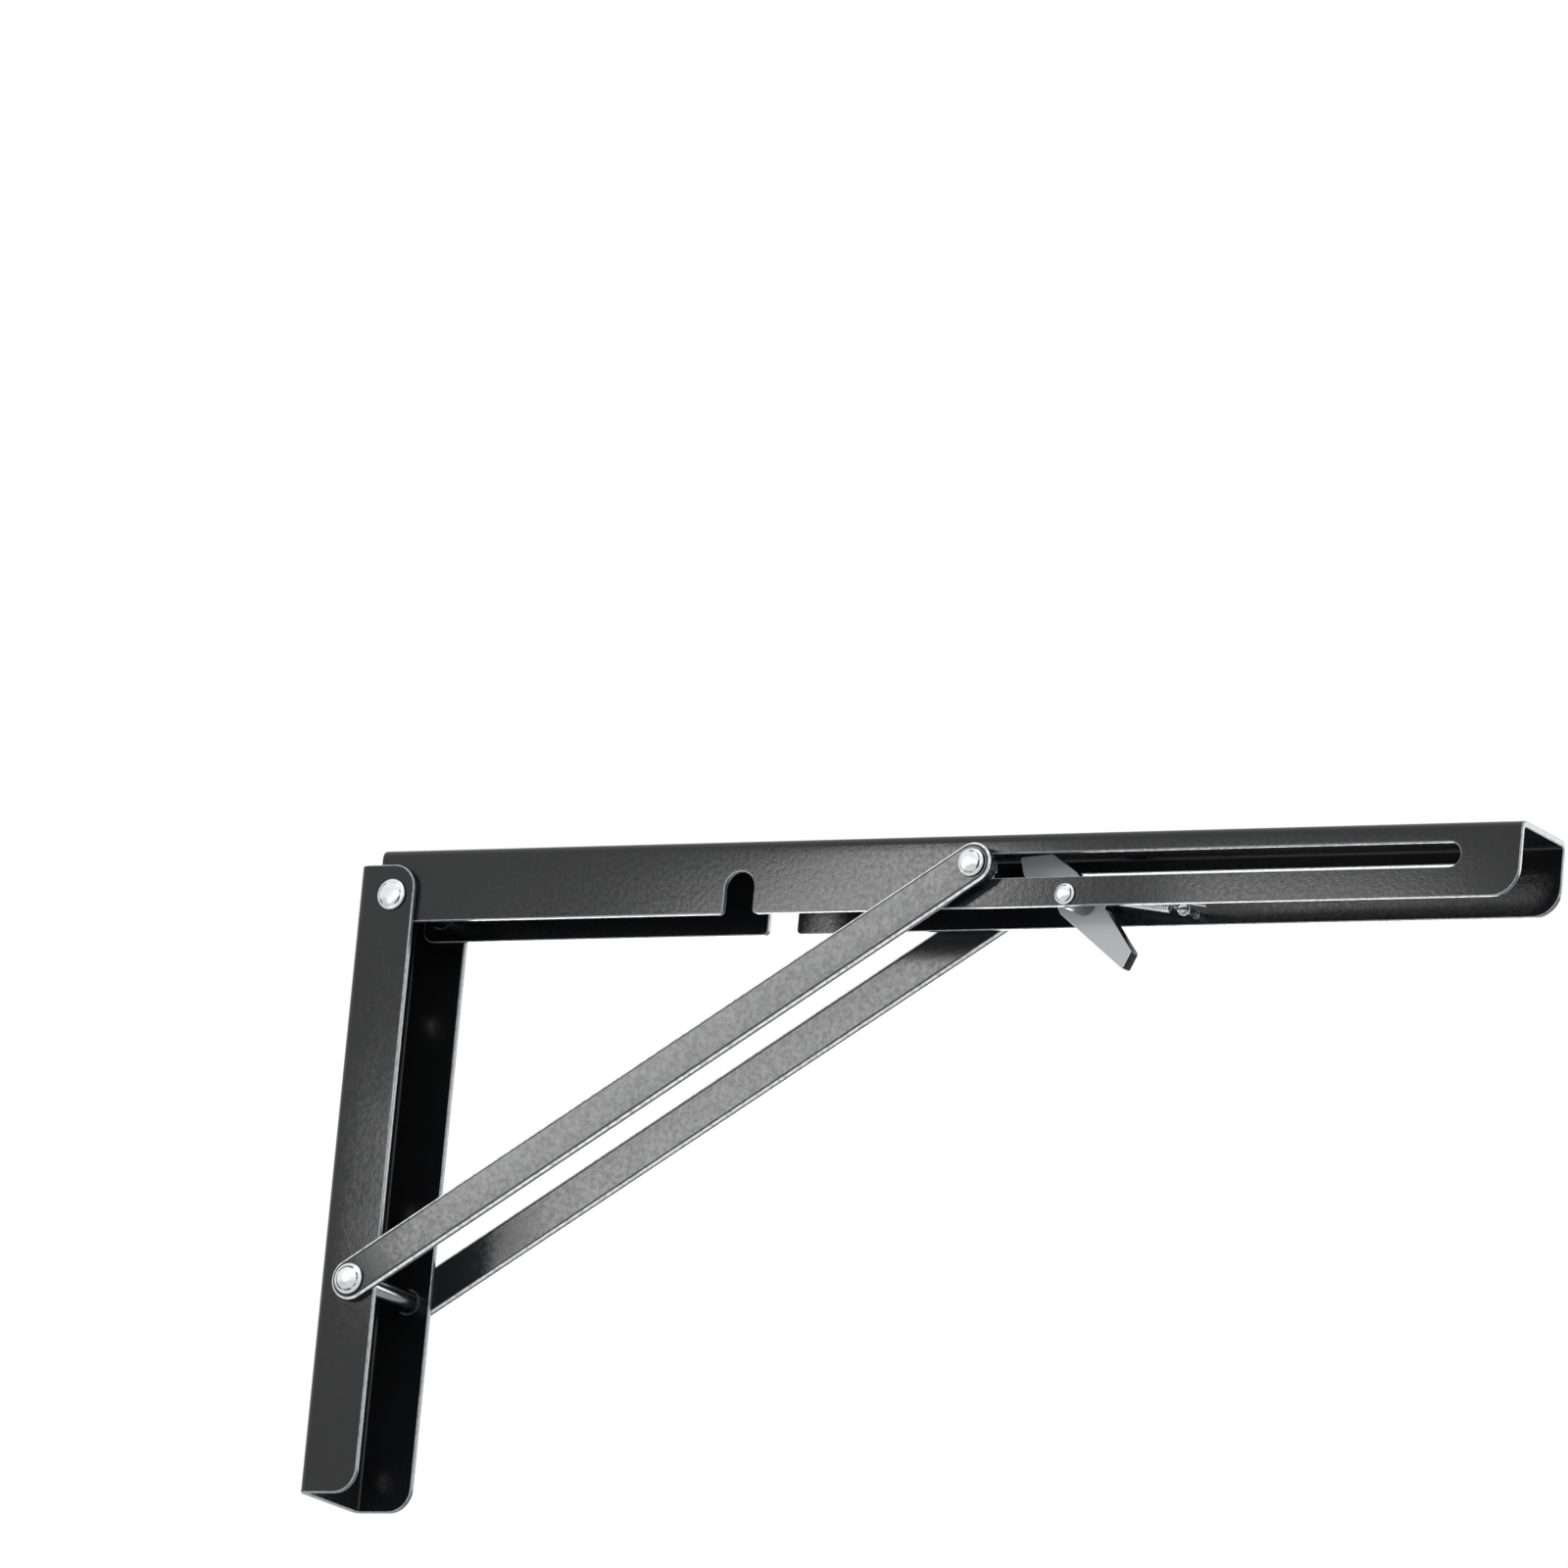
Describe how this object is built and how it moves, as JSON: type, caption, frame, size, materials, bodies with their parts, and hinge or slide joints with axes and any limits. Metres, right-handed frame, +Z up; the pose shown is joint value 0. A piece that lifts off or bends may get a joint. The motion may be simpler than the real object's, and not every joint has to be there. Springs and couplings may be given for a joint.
{
  "type": "folding shelf bracket",
  "caption": "Folding shelf bracket of folded steel channel: a wall arm, a shelf arm that folds down onto it, flat brace bars, and a spring latch that locks it open.",
  "frame": {"origin": "on the wall plane, midway across the bracket, at the height of the main pivot", "axes": "+X away from the wall along the shelf arm, +Y across to the far side, +Z up"},
  "size_m": [0.415, 0.0474, 0.2116],
  "materials": {
    "black_coat": "black powder coat on steel, satin to gloss",
    "bright_zinc": "bright zinc plated rivet steel",
    "dark_steel": "plain turned steel sleeve",
    "spring_steel": "drawn spring wire"
  },
  "bodies": {
    "wall": {"wall_arm": "black_coat", "pivot_rivet": "bright_zinc", "pivot_sleeve": "dark_steel"},
    "shelf": {"shelf_arm": "black_coat", "latch_rivet": "bright_zinc", "latch_spacer_near": "dark_steel", "latch_spacer_far": "dark_steel", "spring_anchor": "bright_zinc", "latch_spring": "spring_steel"},
    "brace": {"brace_bar_near": "black_coat", "brace_bar_far": "black_coat", "foot_rivet": "bright_zinc", "foot_sleeve": "dark_steel", "slider_rivet_near": "bright_zinc", "slider_rivet_far": "bright_zinc"},
    "slider": {"slider_bush_near": "dark_steel", "slider_bush_far": "dark_steel", "slider_washer_near": "dark_steel", "slider_washer_far": "dark_steel"},
    "latch": {"latch_lever": "black_coat"}
  },
  "joints": [
    {"name": "shelf_fold", "type": "hinge", "parent": "wall", "child": "shelf", "pos_m": [0.013, 0, 0], "axis": [0, 1, 0], "range_deg": [0, 90]},
    {"name": "brace_swing", "type": "hinge", "parent": "wall", "child": "brace", "pos_m": [0.013, 0, -0.127], "axis": [0, 1, 0], "range_deg": [0, 120.65]},
    {"name": "slider_travel", "type": "slide", "parent": "shelf", "child": "slider", "axis": [1, 0, 0], "range_m": [0, 0.16454]},
    {"name": "latch_press", "type": "hinge", "parent": "shelf", "child": "latch", "pos_m": [0.2575, 0, -0.0047], "axis": [0, -1, 0], "range_deg": [0, 40], "stiffness_Nm_per_rad": 0.05, "springref_deg": -17.19, "deforming": ["latch_spring"]}
  ],
  "couplings": [
    {"joint": "brace_swing", "follows": "shelf_fold", "ratio": 1.3405},
    {"joint": "slider_travel", "follows": "shelf_fold", "m_per_rad": 0.10475}
  ]
}
